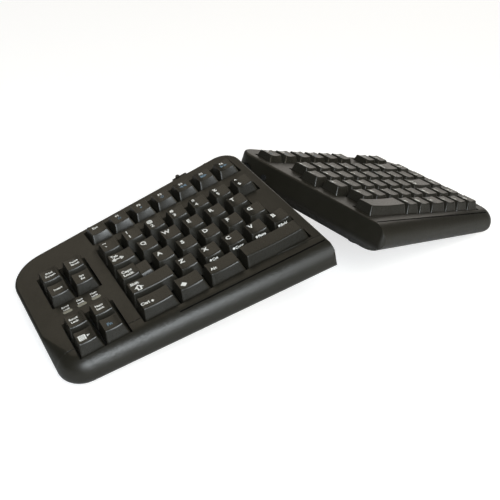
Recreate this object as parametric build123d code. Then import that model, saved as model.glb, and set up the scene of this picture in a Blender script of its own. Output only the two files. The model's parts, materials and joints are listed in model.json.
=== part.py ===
from build123d import *
import math
import os

# Split keyboard with two halves on one ball joint.
# Each half is drawn flat in its own frame and then tented and splayed about the ball.
# Half frame: X runs outward from the seam, Y to the back, Z up from the flat underside.
# The ball centre stands over the origin of the half frame. Sizes are in millimetres.

# Pose of the halves at rest
tent_angle = 17.0          # slope of each half from the desk
splay_angle = 15.0         # opening between the two halves, seen from above
tent_max = 30.0            # steepest slope of a half
splay_max = 30.0           # widest opening between the halves

# Housing
seam_gap = 1.0             # inner wall to the centre plane with the halves closed
half_width = 206.5         # one housing, inner wall to outer wall
case_height = 24.0         # underside to flat top
wall = 2.2                 # thickness of covers
parting_height = 9.0       # split between bottom and top cover
back_edge = 16.5           # back edge in the seam plane, from the ball centre
front_edge = -148.6        # front edge in the seam plane
back_slant = 6.1           # degrees, back edge falls away outward
front_slant = 3.4          # degrees, front edge falls away outward
corner_inner_back = 15.5
corner_outer_back = 30.0
corner_outer_front = 20.0
corner_inner_front = 4.0
palm_roll = 13.0           # radius of the rolled front edge
rim_roll = 2.4             # radius of the back and outer back edge
seam_roll = 1.0            # radius of the top edge of the inner wall
inner_roll = 0.5           # smallest radius inside the covers
roll_overlap = 0.03        # keeps a roll from touching its wall along a line
seam_clearance = 0.8       # lower inner edges of the two halves at their steepest
palm_under = 19.5          # run of the curve under the palm roll
palm_nose = 10.8           # height of the foremost line
side_under = 5.0           # run of the curve under the other edges
side_nose = 7.0            # its height
groove_inset = 19.0        # accent groove behind the front edge
groove_width = 0.8
groove_depth = 0.5

# Keys
key_pitch = 19.05
key_gap = 1.0              # between two caps at their base
key_block_start = 8.45     # seam to the first key
row_pitch = 19.05
home_row = -79.0           # centre line of the row where the fingers rest
function_row_lift = 13.45  # extra space in front of the function row, in the seam plane
function_row_slant = 2.1   # degrees, the function row falls away outward
cap_base = 21.0            # height of the cap's open lower edge
cap_height = 10.0
function_cap_height = 8.2
cap_step_width = 9.5       # low inner part of the caps lock
cap_step_drop = 2.6
cap_side_draft = 2.6       # run of the side skirts
cap_front_draft = 3.6      # run of the front skirt
cap_back_draft = 1.4
cap_wall = 1.3
cap_roof = 1.8
cap_dish = 0.8             # depth of the hollow in the cap's top
key_travel = 3.5
stem_size = 6.0
stem_reach = 1.0           # stem shows this far under the plate
side_stem_size = 4.0       # second guides of long keys
side_stem_inset = 9.0
long_key = 1.75            # from this many units on, a key has side guides
well_clearance = 0.9       # cap to the wall of its well
well_wall = 1.5
slide_clearance = 0.3      # stem to its guide

# Column of eight extra keys on the left half
nav_centre = 171.5
nav_gap_rows = 3           # rows from the upper to the lower group of four
nav_setback = 1.1          # upper group stands this far in front of the letter rows

# Layers under the keys
back_plate_height = 4.4
back_plate_thickness = 1.0
membrane_thickness = 0.6
dome_sheet_thickness = 0.6
dome_height = 1.0          # a pressed dome
dome_size = 8.0
key_plate_height = 12.5
key_plate_thickness = 3.5
rib_thickness = 1.6

layer_clearance = 0.3      # layers to the inside of the covers

# Ball joint
ball_height = 7.0          # ball centre over the underside
ball_radius = 5.0
liner_thickness = 0.9
liner_clearance = 0.05
socket_thickness = 1.5
pocket_clearance = 0.6     # socket to the covers' pocket
neck_radius = 2.2
stud_flange_radius = 3.4
stud_flange_start = 10.0
stud_flange_thickness = 1.6
shank_radius = 3.0
joint_block_start = 11.6
joint_block_length = 14.0
joint_block_front = 2.6    # reach of the two joint blocks to the front of the ball
joint_block_back = 3.4
joint_block_top = 14.6

# Lock lever
lever_pivot = 24.0         # from the seam, along the back edge
lever_length = 33.0
lever_thickness = 2.8
lever_width = 5.0
lever_base = 11.5          # lower edge of the lever over the underside
lever_offset = 0.5         # lever to the back wall
lever_hub_radius = 2.7
lever_pin_radius = 1.2
lever_pin_clearance = 0.06
lever_tab_length = 13.0
lever_tab_top = 22.6
lever_nub_radius = 1.7
lever_nub_setback = 5.0    # nub to the lever's free end
lug_thickness = 2.2
lug_gap = 0.2
rod_radius = 1.4

# Feet, screws, lamps and boards
foot_height = 3.0
outer_foot_width = 8.0
outer_foot_length = 24.0
outer_foot_inset = 11.5    # outer wall to the middle of the foot
outer_foot_places = (-84.0, -42.0)
inner_foot_radius = 5.0
inner_foot_inset = 16.0    # seam to the middle of the foot
inner_foot_places = (-115.0, -26.0)
bumper_radius = 2.6        # soft stop on the inner wall of the right half
bumper_thickness = 1.6
bumper_centre = (-22.5, 12.2)
screw_radius = 1.2
screw_head_radius = 2.6
screw_head_height = 1.6
screw_recess = 1.4
boss_size = 6.2
lamp_pitch = 11.0
lamp_length = 7.0
lamp_width = 2.6
lamp_height = 0.4
board_thickness = 1.6
inlet_radius = 4.5
inlet_bore = 2.0
inlet_position = 70.0

# Derived heights and places
outer_wall = seam_gap + half_width
membrane_height = back_plate_height + back_plate_thickness
dome_sheet_height = membrane_height + membrane_thickness
layer_top = dome_sheet_height + dome_sheet_thickness
key_plate_top = key_plate_height + key_plate_thickness
stem_bottom = key_plate_height - stem_reach
well_margin = well_clearance - key_gap / 2
well_outer = well_margin + well_wall
inner_liner_radius = ball_radius + liner_clearance
outer_liner_radius = inner_liner_radius + liner_thickness + liner_clearance
socket_radius = outer_liner_radius + liner_thickness + liner_clearance
socket_outer_radius = socket_radius + socket_thickness
pocket_radius = socket_outer_radius + pocket_clearance
ball_centre = Vector(0, 0, ball_height)

# Rows of keys, from the seam outward: start and widths in key units, and the node of each cap.
# Row 0 is the row where the fingers rest, row 3 the function row.
left_rows = [
    (3, 0, [("left_function_keys", 1)] * 6 + [("escape_key", 1)]),
    (2, 0, [("left_number_keys", 1)] * 7),
    (1, 0.75, [("left_upper_letter_keys", 1)] * 5 + [("tab_key", 1.25)]),
    (0, 0.5, [("left_home_letter_keys", 1)] * 5 + [("caps_lock_key", 1.5)]),
    (-1, 0, [("left_lower_letter_keys", 1)] * 5 + [("left_shift_key", 2)]),
    (-2, 0, [("left_space_bar", 2.75), ("left_alt_key", 1.5), ("left_symbol_key", 1.25),
             ("left_control_key", 1.5)]),
]
right_rows = [
    (3, 0, [("right_function_keys", 1)] * 6 + [(None, 1)] + [("right_function_keys", 1)] * 2),
    (2, 0.5, [("right_number_keys", 1)] * 6 + [("backspace_key", 1.5), ("column_keys", 1)]),
    (1, 0, [("right_upper_letter_keys", 1)] * 8 + [("column_keys", 1)]),
    (0, 0.25, [("right_home_letter_keys", 1)] * 6 + [("enter_key", 1.75), ("column_keys", 1)]),
    (-1, 0.75, [("right_lower_letter_keys", 1)] * 5 + [("right_shift_key", 1.25),
                ("up_arrow_key", 1), ("column_keys", 1)]),
    (-2, 0, [("right_space_bar", 2.75), ("right_modifier_keys", 1), ("right_modifier_keys", 1),
             ("right_modifier_keys", 1.25), ("left_arrow_key", 1), ("down_arrow_key", 1),
             ("right_arrow_key", 1)]),
]

function_caps = ("left_function_keys", "right_function_keys", "escape_key")

nodes = {}


def row_centre(row):
    """Centre line of a row, for the function row in the seam plane."""
    lift = function_row_lift if row == 3 else 0
    return home_row + row * row_pitch + lift


def row_turn(y):
    """Turn of the row on the centre line y: only the function row is slanted."""
    slant = function_row_slant if y == row_centre(3) else 0
    return Pos(0, y, 0) * Rot(0, 0, -slant) * Pos(0, -y, 0)


def keys_of(rows):
    """Every cap of the rows as node name, centre and width in units."""
    found = []
    for row, start, caps in rows:
        x = key_block_start + start * key_pitch
        for name, units in caps:
            if name is not None:
                found.append((name, x + units * key_pitch / 2, row_centre(row), units))
            x += units * key_pitch
    return found


def nav_keys():
    """The eight extra caps: an upper and a lower group of two by two."""
    found = []
    for group, top_row, setback in (("upper_nav_keys", 2, nav_setback),
                                    ("lower_nav_keys", 2 - nav_gap_rows, 2 * nav_setback)):
        for row in (top_row, top_row - 1):
            for side in (-0.5, 0.5):
                found.append((group, nav_centre + side * key_pitch, row_centre(row) - setback, 1))
    return found


left_keys = keys_of(left_rows) + nav_keys()
right_keys = keys_of(right_rows)


def span(x0, x1, y0, y1, z0, z1):
    """A block between two corners."""
    return Pos((x0 + x1) / 2, (y0 + y1) / 2, (z0 + z1) / 2) * Box(x1 - x0, y1 - y0, z1 - z0)


def upright(x, y, z0, z1, radius):
    """A round bar standing on z0."""
    return Pos(x, y, (z0 + z1) / 2) * Cylinder(radius, z1 - z0)


# Housing form

def back_at(x, inset=0.0):
    return back_edge - x * math.tan(math.radians(back_slant)) - inset / math.cos(math.radians(back_slant))


def front_at(x, inset=0.0):
    return front_edge + x * math.tan(math.radians(front_slant)) + inset / math.cos(math.radians(front_slant))


def outline_corners(inset):
    """Corners of the plan outline, counter-clockwise from the inner front one, with their radii."""
    inner = seam_gap + inset
    outer = outer_wall - inset
    points = [Vector(inner, front_at(inner, inset)), Vector(outer, front_at(outer, inset)),
              Vector(outer, back_at(outer, inset)), Vector(inner, back_at(inner, inset))]
    radii = [corner_inner_front, corner_outer_front, corner_outer_back, corner_inner_back]
    return points, [radius - inset for radius in radii]


def outline_runs(inset):
    """Straight runs and corner arcs of the outline: front, outer, back and inner side."""
    points, radii = outline_corners(inset)
    runs = []
    for index in range(4):
        before = (points[index] - points[index - 1]).normalized()
        along = (points[(index + 1) % 4] - points[index]).normalized()
        after = (points[(index + 2) % 4] - points[(index + 1) % 4]).normalized()
        turn = math.radians(along.get_angle(after))
        start_turn = math.radians(before.get_angle(along))
        start = points[index] + along * (radii[index] * math.tan(start_turn / 2))
        end = points[(index + 1) % 4] - along * (radii[(index + 1) % 4] * math.tan(turn / 2))
        outward = Vector(along.Y, -along.X)
        centre = end - outward * radii[(index + 1) % 4]
        runs.append((start, end, along, outward, centre, math.degrees(turn)))
    return runs


def outline_face(inset):
    points, radii = outline_corners(inset)
    path = FilletPolyline(*points, radius=radii, close=True)
    return make_face(path)


def section_plane(point, outward):
    """Plane across an edge: local X points outward, local Y up."""
    return Plane(origin=(point.X, point.Y, 0), x_dir=(outward.X, outward.Y, 0),
                 z_dir=outward.cross(Vector(0, 0, 1)))


def roll_section(run, rise, level, upper):
    """Waste outside an elliptical edge. Run goes inward, rise goes along the wall."""
    sign = 1 if upper else -1
    waste = 8.0
    arc = EllipticalCenterArc((-run, level - sign * rise), run + roll_overlap, rise + roll_overlap,
                              start_angle=0, arc_size=sign * 90)
    corner = Polyline((-run, level + sign * roll_overlap), (-run, level + sign * waste),
                      (waste, level + sign * waste), (waste, level - sign * rise),
                      (roll_overlap, level - sign * rise))
    return make_face(arc + corner)


def roll_between(start, end, outward, first, last, level, upper):
    """Waste along a straight edge whose roll may change from one end to the other."""
    sections = [section_plane(start, outward) * roll_section(*first, level, upper),
                section_plane(end, outward) * roll_section(*last, level, upper)]
    return loft(sections, ruled=True)


def roll_round(point, outward, centre, turn, size, level, upper):
    """Waste round a corner of the outline."""
    section = section_plane(point, outward) * roll_section(*size, level, upper)
    return revolve(section, axis=Axis((centre.X, centre.Y, 0), (0, 0, 1)), revolution_arc=turn)


def edge_waste(inset, upper):
    """All waste round the upper or lower edge: palm roll, outer corner, sides and back."""
    front, outer, back, inner = outline_runs(inset)
    level = case_height - inset if upper else inset
    palm = (palm_roll, palm_roll) if upper else (palm_under, palm_nose)
    rim = (rim_roll, rim_roll) if upper else (side_under, side_nose)
    corner = corner_outer_front - inset - inner_roll
    palm = [min(max(size - inset, inner_roll), corner) for size in palm]
    rim = [max(size - inset, inner_roll) for size in rim]
    past = front[0] - front[2] * (2 * corner_inner_front)
    fade = outer[0] + outer[2] * (0.3 * (outer[1] - outer[0]).length)
    pieces = [
        roll_between(past, front[1], front[3], palm, palm, level, upper),
        roll_round(front[1], front[3], front[4], front[5], palm, level, upper),
        roll_between(outer[0], fade, outer[3], palm, rim, level, upper),
        roll_between(fade, outer[1], outer[3], rim, rim, level, upper),
        roll_round(outer[1], outer[3], outer[4], outer[5], rim, level, upper),
        roll_between(back[0], back[1], back[3], rim, rim, level, upper),
        roll_round(back[1], back[3], back[4], back[5], rim, level, upper),
    ]
    if upper and inset == 0:
        far = inner[1] + inner[2] * (2 * corner_inner_front)
        pieces.append(roll_between(inner[0], far, inner[3], rim, (seam_roll, seam_roll), level, upper))
    return pieces


def seam_relief(inset):
    """Wedge off the lower inner edge, so that both halves can stand at their steepest."""
    slope = math.tan(math.radians(tent_max))
    run = seam_clearance + ball_height * slope - seam_gap
    rise = run / slope
    front, outer, back, inner = outline_runs(inset)
    waste = 8.0
    profile = make_face(Polyline((-run, inset), (-run, -waste), (waste, -waste), (waste, rise + inset),
                                 (0, rise + inset), close=True))
    corner = revolve(section_plane(back[1], back[3]) * profile,
                     axis=Axis((back[4].X, back[4].Y, 0), (0, 0, 1)), revolution_arc=back[5])
    length = (inner[1] - inner[0]).length + 4 * corner_inner_front
    straight = extrude(section_plane(inner[0], inner[3]) * profile, amount=-length)
    return [corner, straight]


def housing_form(inset=0.0):
    """The smooth closed form of one housing, drawn in by inset on every side."""
    form = Pos(0, 0, inset) * extrude(outline_face(inset), amount=case_height - 2 * inset)
    for piece in edge_waste(inset, True) + edge_waste(inset, False) + seam_relief(inset):
        form -= piece
    return form


def ball_pocket():
    return Pos(*ball_centre) * Sphere(pocket_radius)


# Key wells

def key_runs(keys):
    """Unbroken runs of caps as low end, high end and centre line."""
    runs = []
    for name, x, y, units in sorted(keys, key=lambda key: (key[2], key[1])):
        low = x - units * key_pitch / 2
        high = x + units * key_pitch / 2
        if runs and runs[-1][2] == y and low - runs[-1][1] < key_gap:
            runs[-1][1] = high
        else:
            runs.append([low, high, y])
    return runs


def well_region(keys, margin, z0, z1):
    """Stepped region round a set of keys, grown by margin."""
    blocks = [row_turn(y) * span(low - margin, high + margin, y - row_pitch / 2 - margin,
                                 y + row_pitch / 2 + margin, z0, z1) for low, high, y in key_runs(keys)]
    return blocks[0] + blocks[1:]


def bridge_region(left, z0, z1):
    """Strips that join the wells of one half into one sheet."""
    start = key_block_start
    end = key_block_start + 6 * key_pitch
    strips = span(start, end, row_centre(2), row_centre(3), z0, z1)
    if left:
        strips += span(nav_centre - key_pitch, nav_centre + key_pitch,
                       row_centre(-1), row_centre(1), z0, z1)
        for row in (-2, 2):
            strips += span(end, nav_centre, row_centre(row) - 6, row_centre(row) + 6, z0, z1)
    else:
        strips += span(end + key_pitch, end + 3 * key_pitch, row_centre(2), row_centre(3), z0, z1)
    return strips


def layer(left, z0, z1):
    """A sheet under all keys of one half, cut to the inside of the covers."""
    keys = left_keys if left else right_keys
    sheet = (well_region(keys, well_outer, z0, z1) + bridge_region(left, z0, z1)) & layer_form
    return sheet - ball_pocket() - stud_space()


# Covers

def screw_places():
    """Screws stand clear of the key wells of both halves."""
    return [(36.0, back_at(36.0) - 7.6), (outer_wall - 21.0, back_at(outer_wall - 21.0) - 13.0),
            (outer_wall - 9.0, -100.0), (60.0, front_at(60.0) + 12.5)]


def top_cover(left, outer_form, inner_form):
    keys = left_keys if left else right_keys
    cover = outer_form - inner_form
    cover &= span(0, 2 * outer_wall, -2 * outer_wall, outer_wall, parting_height, 2 * case_height)
    rims = well_region(keys, well_outer, key_plate_top, case_height - wall)
    cover += rims & outer_form
    for x, y in screw_places():
        boss = span(x - boss_size / 2, x + boss_size / 2, y - boss_size / 2, y + boss_size / 2,
                    parting_height, case_height - wall / 2)
        cover += boss & outer_form
        cover -= upright(x, y, parting_height, parting_height + 8, screw_radius + 0.05)
    cover -= well_region(keys, well_margin, key_plate_top - 1, case_height + 1)
    groove = Pos(0, front_edge + groove_inset, case_height) * Rot(0, 0, front_slant) * Box(
        4 * half_width, groove_width, 2 * groove_depth)
    cover -= groove
    cover -= ball_pocket()
    cover -= joint_block_space()
    if left:
        for x in lamp_places():
            cover -= lamp_shape(x, case_height - wall - 1, 0.05)
        cover = cover + lever_lugs() - lever_bore(0.02) - rod_bore()
    else:
        cover -= inlet_bore_space()
    return cover


def bottom_cover(outer_form, inner_form):
    cover = outer_form - inner_form
    cover &= span(0, 2 * outer_wall, -2 * outer_wall, outer_wall, -case_height, parting_height)
    for x in (30.0, 85.0, 152.0, 187.0):
        rib = span(x, x + rib_thickness, front_edge, back_edge, wall / 2, back_plate_height)
        cover += rib & outer_form
    for y in (-40.0, -108.0):
        rib = span(0, outer_wall, y, y + rib_thickness, wall / 2, back_plate_height)
        cover += rib & outer_form
    for x, y in screw_places():
        boss = span(x - boss_size / 2, x + boss_size / 2, y - boss_size / 2, y + boss_size / 2,
                    wall / 2, parting_height)
        cover += boss & outer_form
        cover -= upright(x, y, -1, parting_height + 1, screw_radius + 0.3)
        cover -= upright(x, y, -1, screw_recess + screw_head_height, screw_head_radius + 0.3)
    cover -= ball_pocket()
    cover -= joint_block_space()
    return cover


# Key caps

def cap_solid(units, height, stepped):
    """Hollow cap with sloping skirts, a dished top and a guide stem, at the origin of its key."""
    width = units * key_pitch - key_gap
    depth = row_pitch - key_gap
    top_width = width - 2 * cap_side_draft
    top_depth = depth - cap_front_draft - cap_back_draft
    shift = (cap_front_draft - cap_back_draft) / 2
    top = cap_base + height
    roof_bottom = top - cap_roof

    def shell(grow, rise):
        base = Pos(0, 0, cap_base) * Rectangle(width + grow, depth + grow)
        roof = Pos(0, shift, cap_base + rise) * Rectangle(top_width + grow, top_depth + grow)
        return loft([base, roof], ruled=True)

    cap = shell(0, height)
    hollow = shell(-2 * cap_wall, height - cap_roof)
    if units < 2.5:
        radius = top_width ** 2 / (8 * cap_dish) + cap_dish / 2
        dish = Pos(0, 0, top + radius - cap_dish) * Rot(90, 0, 0) * Cylinder(radius, 2 * depth)
        cap -= dish
    if stepped:
        step = cap_step_width - width / 2
        cap -= span(-width, step, -depth, depth, top - cap_step_drop, top + 1)
        hollow -= span(-width, step + cap_wall, -depth, depth, roof_bottom - cap_step_drop, top)
    cap -= hollow
    cap += span(-stem_size / 2, stem_size / 2, -stem_size / 2, stem_size / 2, stem_bottom, roof_bottom)
    if units >= long_key:
        for x in side_stem_places(units):
            cap += span(x - side_stem_size / 2, x + side_stem_size / 2, -side_stem_size / 2,
                        side_stem_size / 2, stem_bottom, roof_bottom)
    return cap


def side_stem_places(units):
    reach = units * key_pitch / 2 - side_stem_inset
    return (-reach, reach)


def cap_nodes(keys, side):
    """One node for each key name; a row of like caps shares one node."""
    shapes = {}
    groups = {}
    for name, x, y, units in keys:
        height = function_cap_height if name in function_caps else cap_height
        form = (units, height, name == "caps_lock_key")
        if form not in shapes:
            shapes[form] = cap_solid(*form)
        groups.setdefault(name, []).append(row_turn(y) * Pos(x, y, 0) * shapes[form])
    for name, caps in groups.items():
        add_node(name, caps, side)


def key_plate(left):
    """Guide plate on a skirt, with a square guide for each stem."""
    keys = left_keys if left else right_keys
    plate = layer(left, key_plate_height, key_plate_top)
    skirt = well_region(keys, well_outer, layer_top, key_plate_height)
    skirt -= well_region(keys, well_outer - well_wall, layer_top, key_plate_height)
    plate += (skirt & layer_form) - ball_pocket() - stud_space()
    guides = []
    for name, x, y, units in keys:
        guides.append(guide_hole(x, y, stem_size))
        if units >= long_key:
            guides += [guide_hole(x + offset, y, side_stem_size) for offset in side_stem_places(units)]
    return plate - guides


def guide_hole(x, y, size):
    reach = size / 2 + slide_clearance
    return row_turn(y) * span(x - reach, x + reach, y - reach, y + reach, 0, case_height)


def dome_sheet(left):
    """Rubber sheet with one dome under each stem, drawn as pressed."""
    sheet = layer(left, dome_sheet_height, layer_top)
    domes = []
    for name, x, y, units in left_keys if left else right_keys:
        foot = row_turn(y) * Pos(x, y, layer_top) * Rectangle(dome_size, dome_size)
        domes.append(extrude(foot, amount=dome_height, taper=30))
    return sheet + domes


# Ball joint

def shell_zone(inner, outer, mouth, heading, drop):
    """Spherical shell with a round mouth that points along heading and down by drop degrees."""
    ring = Sphere(outer) - Sphere(inner)
    depth = 2 * outer
    cone = Pos(0, 0, depth / 2) * Cone(0.001, depth * math.tan(math.radians(mouth)), depth)
    turn = Rot(0, 0, heading) * Rot(0, 90 + drop, 0)
    return Pos(*ball_centre) * (ring - turn * cone)


def joint_block(space=0.0):
    """Block behind the ball, inside the housing, standing on the bottom cover."""
    return span(joint_block_start - space, joint_block_start + joint_block_length + space,
                -joint_block_front - space, joint_block_back + space,
                wall, joint_block_top + space)


def joint_block_space():
    """Way through the inner wall for the socket's arm or the stud."""
    return span(0, joint_block_start + 1, -joint_block_front - 0.3, joint_block_back + 0.3,
                wall, joint_block_top + 0.3)


def stud_space():
    """Room for the joint block and the stud behind the inner wall."""
    end = joint_block_start + joint_block_length + 1
    return span(0, end, -stud_flange_radius - 0.4, back_edge, 0, joint_block_top + 0.4)


def mouth_angle(swing):
    """Half angle of a mouth that lets the neck swing that far."""
    return math.degrees(math.asin(neck_radius / ball_radius)) + swing + 4.0


def ball_socket():
    """Socket of the left half: a cup round the ball, an arm and a block on the floor."""
    swing = max(tent_max, math.hypot(tent_max, splay_max / 2))
    arm = span(socket_radius, joint_block_start, -joint_block_front, joint_block_back,
               wall, joint_block_top)
    body = joint_block() + arm
    body = body.mirror(Plane.YZ) - Pos(*ball_centre) * Sphere(socket_radius)
    cup = shell_zone(socket_radius, socket_outer_radius, mouth_angle(swing) - 4.0,
                     splay_max / 2, tent_max)
    return cup + body


def stud_block():
    """Block of the right half with the bore that holds the stud."""
    bore = Pos(joint_block_start + joint_block_length / 2, 0, ball_height) * Rot(0, 90, 0) * Cylinder(
        shank_radius + 0.05, joint_block_length + 2)
    return joint_block() - bore


def ball_stud():
    """Ball, neck, flange and shank in one turned piece along X."""
    ball = Sphere(ball_radius)
    pieces = [(0, stud_flange_start, neck_radius),
              (stud_flange_start, stud_flange_start + stud_flange_thickness, stud_flange_radius),
              (stud_flange_start, joint_block_start + joint_block_length, shank_radius)]
    for start, end, radius in pieces:
        ball += Pos((start + end) / 2, 0, 0) * Rot(0, 90, 0) * Cylinder(radius, end - start)
    return Pos(*ball_centre) * ball


# Lock lever, drawn for the right-hand frame and mirrored with the left half

def lever_axis():
    return Vector(lever_pivot, back_at(lever_pivot) + lever_offset + lever_hub_radius)


def lug_heights():
    """Lower faces of the two ears that hold the lever's pin."""
    return (lever_base - lug_gap - lug_thickness, lever_base + lever_width + lug_gap)


def lever_lugs():
    axis = lever_axis()
    ears = []
    for z0 in lug_heights():
        ears.append(span(axis.X - lever_hub_radius, axis.X + lever_hub_radius,
                         axis.Y - lever_hub_radius - wall, axis.Y, z0, z0 + lug_thickness))
        ears.append(upright(axis.X, axis.Y, z0, z0 + lug_thickness, lever_hub_radius))
    return ears


def lever_bore(clearance):
    axis = lever_axis()
    return upright(axis.X, axis.Y, 0, case_height, lever_pin_radius + clearance)


def lever_pin():
    axis = lever_axis()
    low, high = lug_heights()
    return upright(axis.X, axis.Y, low, high + lug_thickness, lever_pin_radius)


def lock_lever():
    """Lever along the back wall: hub, blade that follows the wall, finger tab and nub."""
    axis = lever_axis()
    near = -lever_hub_radius
    far = near + lever_thickness
    top = lever_base + lever_width
    lever = upright(0, 0, lever_base, top, lever_hub_radius)
    lever += span(0, lever_length, near, far, lever_base, top)
    lever += span(lever_length - lever_tab_length, lever_length, near, far - 0.4, top - 1, lever_tab_top)
    lever += upright(lever_length - lever_nub_setback, near + lever_nub_radius, lever_base, case_height,
                     lever_nub_radius)
    lever = Pos(axis.X, axis.Y, 0) * Rot(0, 0, -back_slant) * lever
    return lever - lever_bore(lever_pin_clearance)


def rod_height():
    return lever_base + rod_radius + 0.1


def clamp_rod():
    """Rod from the lever's hub to the socket block; it presses the socket shut."""
    axis = lever_axis()
    start = joint_block_back
    end = axis.Y - lever_hub_radius - 0.3
    return Pos(axis.X, (start + end) / 2, rod_height()) * Rot(90, 0, 0) * Cylinder(rod_radius, end - start)


def rod_bore():
    axis = lever_axis()
    return Pos(axis.X, back_edge, rod_height()) * Rot(90, 0, 0) * Cylinder(rod_radius + 0.05, 12)


# Small pieces

def outer_foot(x, y):
    """Pad with one face for the flat keyboard and one that lies on the desk at rest."""
    reach = outer_foot_width / 2
    rise = reach * math.tan(math.radians(tent_angle))
    section = make_face(Polyline((x - reach, 0), (x - reach, -foot_height), (x, -foot_height),
                                 (x + reach, rise - foot_height), (x + reach, 0), close=True))
    start = Plane(origin=(0, y + outer_foot_length / 2, 0), x_dir=(1, 0, 0), z_dir=(0, -1, 0))
    return extrude(start * section, amount=outer_foot_length)


def feet():
    pads = [outer_foot(outer_wall - outer_foot_inset, y) for y in outer_foot_places]
    return pads + [upright(inner_foot_inset, y, -foot_height, 0, inner_foot_radius)
                   for y in inner_foot_places]


def seam_bumper():
    y, z = bumper_centre
    return Pos(seam_gap - bumper_thickness / 2, y, z) * Rot(0, 90, 0) * Cylinder(
        bumper_radius, bumper_thickness)


def screws():
    made = []
    for x, y in screw_places():
        head = upright(x, y, screw_recess, screw_recess + screw_head_height, screw_head_radius)
        shank = upright(x, y, screw_recess, parting_height + 7, screw_radius)
        made.append(head + shank)
    return made


def lamp_places():
    return [nav_centre + step * lamp_pitch for step in (-1, 0, 1)]


def lamp_row():
    return (row_centre(1) + row_centre(-1)) / 2 - 1.5


def lamp_shape(x, z0, grow=0.0):
    outline = SlotOverall(lamp_length + 2 * grow, lamp_width + 2 * grow)
    top = case_height + lamp_height + (5 if grow else 0)
    return Pos(x, lamp_row(), z0) * extrude(outline, amount=top - z0)


def lamp_board():
    y = lamp_row()
    board = span(nav_centre - 20, nav_centre + 20, y - 5.5, y + 5.5, key_plate_top,
                 key_plate_top + board_thickness)
    for x in lamp_places():
        board += span(x - 1.5, x + 1.5, y - 1.5, y + 1.5, key_plate_top + board_thickness,
                      case_height - wall)
    return board


def controller_board():
    """Board with its chip and two connectors, on the ribs behind the extra keys."""
    x1 = outer_wall - 29
    x0 = x1 - 33
    y1 = back_at(x1) - wall - 2.0
    y0 = y1 - 13
    base = back_plate_height
    board = span(x0, x1, y0, y1, base, base + board_thickness)
    board += span(x0 + 12, x0 + 21, y0 + 2, y0 + 11, base + board_thickness, base + board_thickness + 1.2)
    for x in (x0 + 2, x1 - 9):
        board += span(x, x + 7, y0 + 1, y0 + 5, base + board_thickness, base + board_thickness + 3)
    return board


def link_board():
    """Board of the right half, on the ribs beside the keys."""
    x1 = outer_wall - wall - 2.5
    x0 = x1 - 17
    base = back_plate_height
    board = span(x0, x1, -92, -34, base, base + board_thickness)
    board += span(x0 + 2, x0 + 10, -70, -60, base + board_thickness, base + board_thickness + 3)
    return board


def inlet_axis():
    return Pos(inlet_position, back_at(inlet_position), parting_height + 4.5) * Rot(0, 0, -back_slant) * Rot(90, 0, 0)


def inlet_bore_space():
    return inlet_axis() * Cylinder(inlet_radius - 1.0, 4 * wall)


def cord_inlet():
    """Grommet in the back wall where a cord would enter."""
    body = Cylinder(inlet_radius - 1.0, wall + 2.4)
    lip = Pos(0, 0, -wall / 2 - 0.9) * Cylinder(inlet_radius, 1.0)
    grommet = body + lip - Cylinder(inlet_bore, 6 * wall)
    return inlet_axis() * Pos(0, 0, wall / 2) * grommet


# Placing and writing

def half_place(side):
    """Half frame to ball frame: side is 1 for the right half and -1 for the left."""
    return Rot(0, 0, side * splay_angle / 2) * Rot(0, side * tent_angle, 0) * Pos(0, 0, -ball_height)


def add_node(name, solids, side):
    """Keep solids of a half, mirrored for the left one, as one node."""
    group = solids if isinstance(solids, list) else [solids]
    placed = []
    for solid in group:
        for piece in solid.solids():
            flat = piece.mirror(Plane.YZ) if side < 0 else piece
            placed.append(half_place(side) * flat)
    nodes.setdefault(name, []).extend(placed)


def add_ring(name, solid, heading):
    """Keep a ring of the ball joint, turned about the upright axis only."""
    place = Rot(0, 0, heading) * Pos(0, 0, -ball_height)
    nodes[name] = [place * piece for piece in solid.solids()]


def build_half(side, keys, outer_form, inner_form):
    left = side < 0
    prefix = "left" if left else "right"
    add_node(prefix + "_top_cover", top_cover(left, outer_form, inner_form), side)
    add_node(prefix + "_bottom_cover", bottom_cover(outer_form, inner_form), side)
    add_node(prefix + "_key_plate", key_plate(left), side)
    add_node(prefix + "_dome_sheet", dome_sheet(left), side)
    add_node(prefix + "_membrane", layer(left, membrane_height, dome_sheet_height), side)
    add_node(prefix + "_back_plate", layer(left, back_plate_height, membrane_height), side)
    add_node(prefix + "_feet", feet(), side)
    add_node(prefix + "_case_screws", screws(), side)
    cap_nodes(keys, side)


def build_joint():
    nodes["ball_socket"] = [half_place(-1) * piece for piece in ball_socket().solids()]
    outer_ring = shell_zone(outer_liner_radius, outer_liner_radius + liner_thickness,
                            mouth_angle(math.hypot(tent_max, splay_max) / 2), splay_max / 2, tent_max / 2)
    add_ring("outer_liner", outer_ring, -splay_angle / 2)
    inner_ring = shell_zone(inner_liner_radius, inner_liner_radius + liner_thickness,
                            mouth_angle(tent_max / 2), 0, tent_max / 2)
    add_ring("inner_liner", inner_ring, splay_angle / 2)
    add_node("ball_stud", ball_stud(), 1)
    add_node("stud_block", stud_block(), 1)
    add_node("lock_lever", lock_lever(), -1)
    add_node("lever_pin", lever_pin(), -1)
    add_node("clamp_rod", clamp_rod(), -1)


def write_nodes():
    """Move the origin to the middle of the box's lower face and write one file for each node."""
    box = Compound([piece for pieces in nodes.values() for piece in pieces]).bounding_box()
    shift = Pos(-(box.min.X + box.max.X) / 2, -(box.min.Y + box.max.Y) / 2, -box.min.Z)
    os.makedirs("parts", exist_ok=True)
    for name, pieces in nodes.items():
        moved = [shift * piece for piece in pieces]
        export_step(moved[0] if len(moved) == 1 else Compound(moved), "parts/" + name + ".step")
    centre = shift.position
    print("ball centre", round(centre.X, 4), round(centre.Y, 4), round(centre.Z, 4))
    print("size", round(box.size.X, 2), round(box.size.Y, 2), round(box.size.Z, 2))
    return shift


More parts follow.
